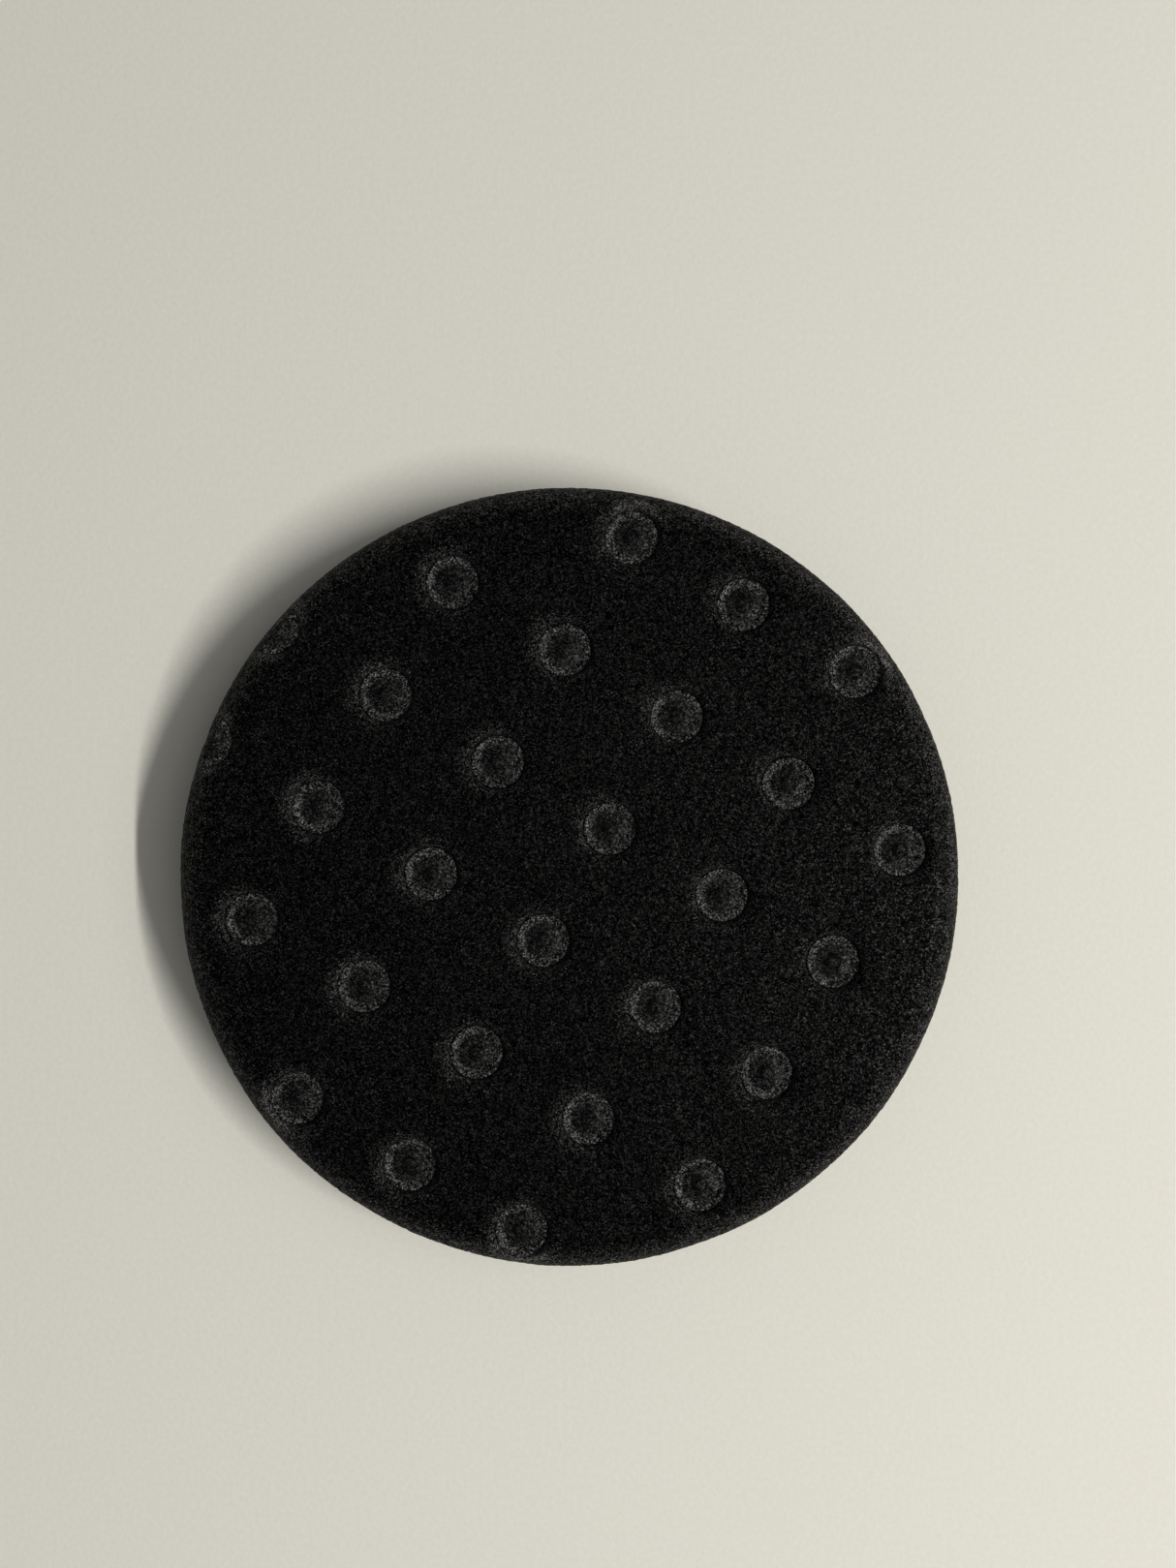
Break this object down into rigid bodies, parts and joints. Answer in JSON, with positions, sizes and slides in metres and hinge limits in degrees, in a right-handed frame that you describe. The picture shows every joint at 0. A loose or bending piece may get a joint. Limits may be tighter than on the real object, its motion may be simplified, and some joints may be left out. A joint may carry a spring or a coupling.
{
  "type": "polishing pad",
  "caption": "Round foam polishing pad with a rounded edge, a square grid of shallow pressed pockets in its working face and a hook-and-loop back.",
  "frame": {"origin": "centre of the loop side, on the surface the pad lies on", "axes": "+Z along the pad's axis, out of the working face; the pocket grid is turned 30.8 degrees clockwise from +X, seen from above"},
  "size_m": [0.1524, 0.1524, 0.0222],
  "materials": {
    "foam": "matt black open-cell polyurethane foam",
    "collapsed_foam": "dark grey heat-pressed foam with its cells closed, faintly satin",
    "film": "dull dark hot-melt film",
    "cloth": "black warp-knitted nylon",
    "pile": "brushed black nylon loops with a slight sheen"
  },
  "bodies": {
    "root": {"foam_disc": "foam", "pocket_skins": "collapsed_foam", "bond_film": "film", "backing_cloth": "cloth", "loop_pile": "pile"}
  },
  "joints": []
}
